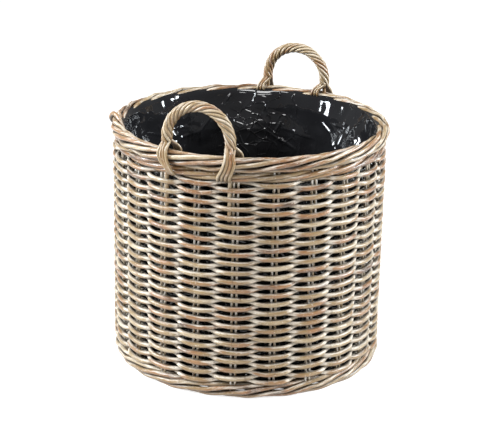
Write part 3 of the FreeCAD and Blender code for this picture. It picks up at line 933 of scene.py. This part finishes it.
def liner():
    """The film, from its edge under the rim down the wall and across the base, pushed in folds."""
    top = RIM_TOP - FILM_EDGE
    floor = liner_low.z + FILM_THICK
    angle = np.arange(LINER_COLUMNS) * 2 * math.pi / LINER_COLUMNS
    share = np.linspace(0, 1, LINER_ROWS)
    height = top + (floor - top) * ((1 - ROWS_TO_TOP) * share + ROWS_TO_TOP * share**4)
    grid_angle, grid_height = np.meshgrid(angle, height)
    depth = top - grid_height
    crumple = folds(grid_angle, depth, seed=21, count=6, short=0.14, long=0.30, steep=0.085)
    crumple += folds(grid_angle, depth, seed=22, count=6, short=0.050, long=0.110, steep=0.055)
    slow = depth * PLEAT_SLOWNESS
    pleats = folds(grid_angle, slow, seed=23, count=4, short=0.08, long=0.20, steep=0.06, slant=0.15)
    sharp = creases(grid_angle * WALL_INSIDE, depth, seed=24, count=CREASE_COUNT)
    loose = np.clip((depth - FOLDS_FROM) / FOLDS_OVER, 0, 1)
    loose = loose * np.clip((grid_height - floor) / FLOOR_EASE + 0.25, 0, 1)
    gathered = np.clip((depth - PLEATS_FROM) / PLEATS_OVER, 0, 1)
    gathered = gathered * (PLEATS_LEFT + (1 - PLEATS_LEFT) * np.exp(-depth / PLEATS_FADE))
    neck = np.interp(depth, NECK_DEPTHS, NECK_OUTWARD)
    radius = WALL_INSIDE - FILM_CLEAR + neck
    radius = radius - loose * crumple * CRUMPLE_SHARE - gathered * pleats * PLEAT_SHARE
    radius -= sharp * np.clip((depth - CREASES_FROM) / CREASES_OVER, 0, 1)
    points = [around(radius[row], angle, height[row]) for row in range(LINER_ROWS)]
    last = radius[-1]
    for row in range(1, FLOOR_ROWS):
        part = 1 - row / FLOOR_ROWS
        uneven = 1 + noise_wave(angle, 31, waves=7, low=3, high=15) * part
        ripple = FLOOR_RIPPLE * uneven * math.sin(row * RIPPLE_TURN) ** 2
        points.append(around(last * part, angle, floor + ripple))
    points = np.concatenate(points)
    rings = LINER_ROWS + FLOOR_ROWS - 1
    faces = []
    for row in range(rings - 1):
        for col in range(LINER_COLUMNS):
            beside = (col + 1) % LINER_COLUMNS
            low, high = (row + 1) * LINER_COLUMNS, row * LINER_COLUMNS
            faces.append((high + col, high + beside, low + beside, low + col))
    centre = len(points)
    points = np.vstack([points, [[0, 0, floor + FLOOR_DOME]]])
    start = (rings - 1) * LINER_COLUMNS
    faces.extend((start + col, start + (col + 1) % LINER_COLUMNS, centre) for col in range(LINER_COLUMNS))
    mesh = bpy.data.meshes.new("liner_film")
    mesh.from_pydata(points.tolist(), [], faces)
    mesh.shade_smooth()
    mesh.materials.append(black_film)
    film = bpy.data.objects.new("liner_film", mesh)
    bpy.context.collection.objects.link(film)
    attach(film, "root")
    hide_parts("liner")


# ---------------------------------------------------------------- frame pieces kept as they are


def dress_frame():
    """Stakes, base sticks and the handles' rods keep their CAD shape and get cane materials."""
    for name in NODES:
        node = bpy.data.objects.get(name)
        if name.startswith("stake_pair_"):
            material = stake_cane
        elif name.endswith("_core") or name.endswith("_sticks"):
            material = rod_wood
        else:
            continue
        for slot in node.material_slots:
            slot.material = material


# ---------------------------------------------------------------- studio


CAMERA_AZIMUTH = math.radians(21.67)
CAMERA_ELEVATION = math.radians(20.44)
CAMERA_DISTANCE = 2.9
CAMERA_LENS = 113.15
CAMERA_UP = math.radians(0.755)
CAMERA_RIGHT = math.radians(0.055)
CAMERA_ROLL = math.radians(1.17)
CAMERA_SENSOR = 36.0
CAMERA_AIM = Vector((0, 0, 0.2))

FLOOR_REACH = 12.0
FLOOR_GREY = (0.55, 0.55, 0.55, 1)
FLOOR_ROUGHNESS = 0.9
FLOOR_GLOW = 0.80
WHITE = (1, 1, 1, 1)
SKY_STRENGTH = 0.23
LIGHT_AIM = Vector((0, 0, 0.22))
LIGHTS = (
    # name, right, towards the camera, up, width, height, watts, red and green where blue is 1
    ("left_light", -2.2, 0.1, 1.3, 0.55, 0.9, 94, (0.89, 0.95)),
    ("right_light", 2.2, 0.0, 1.2, 0.45, 0.9, 80, (0.89, 0.95)),
    ("top_light", -0.2, 0.6, 2.4, 1.1, 0.7, 42, (1.0, 1.0)),
    ("front_light", 0.1, 1.9, 1.9, 0.7, 0.3, 10, (1.0, 1.0)),
)


def studio():
    """A pale floor, two lights at the sides, a soft light above and a small one in front."""
    floor = bpy.data.meshes.new("floor")
    reach = FLOOR_REACH
    corners = [(-reach, -reach, 0), (reach, -reach, 0), (reach, reach, 0), (-reach, reach, 0)]
    floor.from_pydata(corners, [], [(0, 1, 2, 3)])
    paper = Nodes("paper")
    paper.shader.inputs["Base Color"].default_value = FLOOR_GREY
    paper.shader.inputs["Roughness"].default_value = FLOOR_ROUGHNESS
    paper.shader.inputs["Emission Color"].default_value = WHITE
    paper.shader.inputs["Emission Strength"].default_value = FLOOR_GLOW
    floor.materials.append(paper.material)
    ground = bpy.data.objects.new("floor", floor)
    bpy.context.collection.objects.link(ground)

    world = bpy.data.worlds.new("studio")
    world.use_nodes = True
    world.node_tree.nodes["Background"].inputs[0].default_value = WHITE
    world.node_tree.nodes["Background"].inputs[1].default_value = SKY_STRENGTH
    bpy.context.scene.world = world

    to_right = Vector((math.cos(CAMERA_AZIMUTH), math.sin(CAMERA_AZIMUTH), 0))
    to_camera = Vector((math.sin(CAMERA_AZIMUTH), -math.cos(CAMERA_AZIMUTH), 0))
    for name, right, near, up, width, height, watts, tint in LIGHTS:
        data = bpy.data.lights.new(name, "AREA")
        data.shape = "RECTANGLE"
        data.size, data.size_y = width, height
        data.energy = watts
        data.color = (*tint, 1.0)
        lamp = bpy.data.objects.new(name, data)
        lamp.location = to_right * right + to_camera * near + Vector((0, 0, up))
        aim = LIGHT_AIM - lamp.location
        lamp.rotation_mode = "QUATERNION"
        lamp.rotation_quaternion = aim.to_track_quat("-Z", "Y")
        bpy.context.collection.objects.link(lamp)
    bpy.context.scene.view_settings.view_transform = "Standard"


def camera():
    """The camera stands in front, a little to the right, and looks down into the basket."""
    data = bpy.data.cameras.new("camera")
    data.lens = CAMERA_LENS
    data.sensor_width = CAMERA_SENSOR
    eye = bpy.data.objects.new("camera", data)
    back = Vector(
        (
            math.sin(CAMERA_AZIMUTH) * math.cos(CAMERA_ELEVATION),
            -math.cos(CAMERA_AZIMUTH) * math.cos(CAMERA_ELEVATION),
            math.sin(CAMERA_ELEVATION),
        )
    )
    eye.location = CAMERA_AIM + back * CAMERA_DISTANCE
    eye.rotation_mode = "QUATERNION"
    look = (-back).to_track_quat("-Z", "Y")
    tilt = Vector((1, 0, 0)), CAMERA_UP
    pan = Vector((0, 1, 0)), -CAMERA_RIGHT
    roll = Vector((0, 0, 1)), CAMERA_ROLL
    for axis, angle in (tilt, pan, roll):
        look = look @ Quaternion(axis, angle)
    eye.rotation_quaternion = look
    bpy.context.collection.objects.link(eye)
    bpy.context.scene.camera = eye


camera()
studio()
siding()
upper_wale()
top_border()
foot_border()
base()
handle("front", turned=False, seed=4000)
handle("back", turned=True, seed=4100)
liner()
dress_frame()
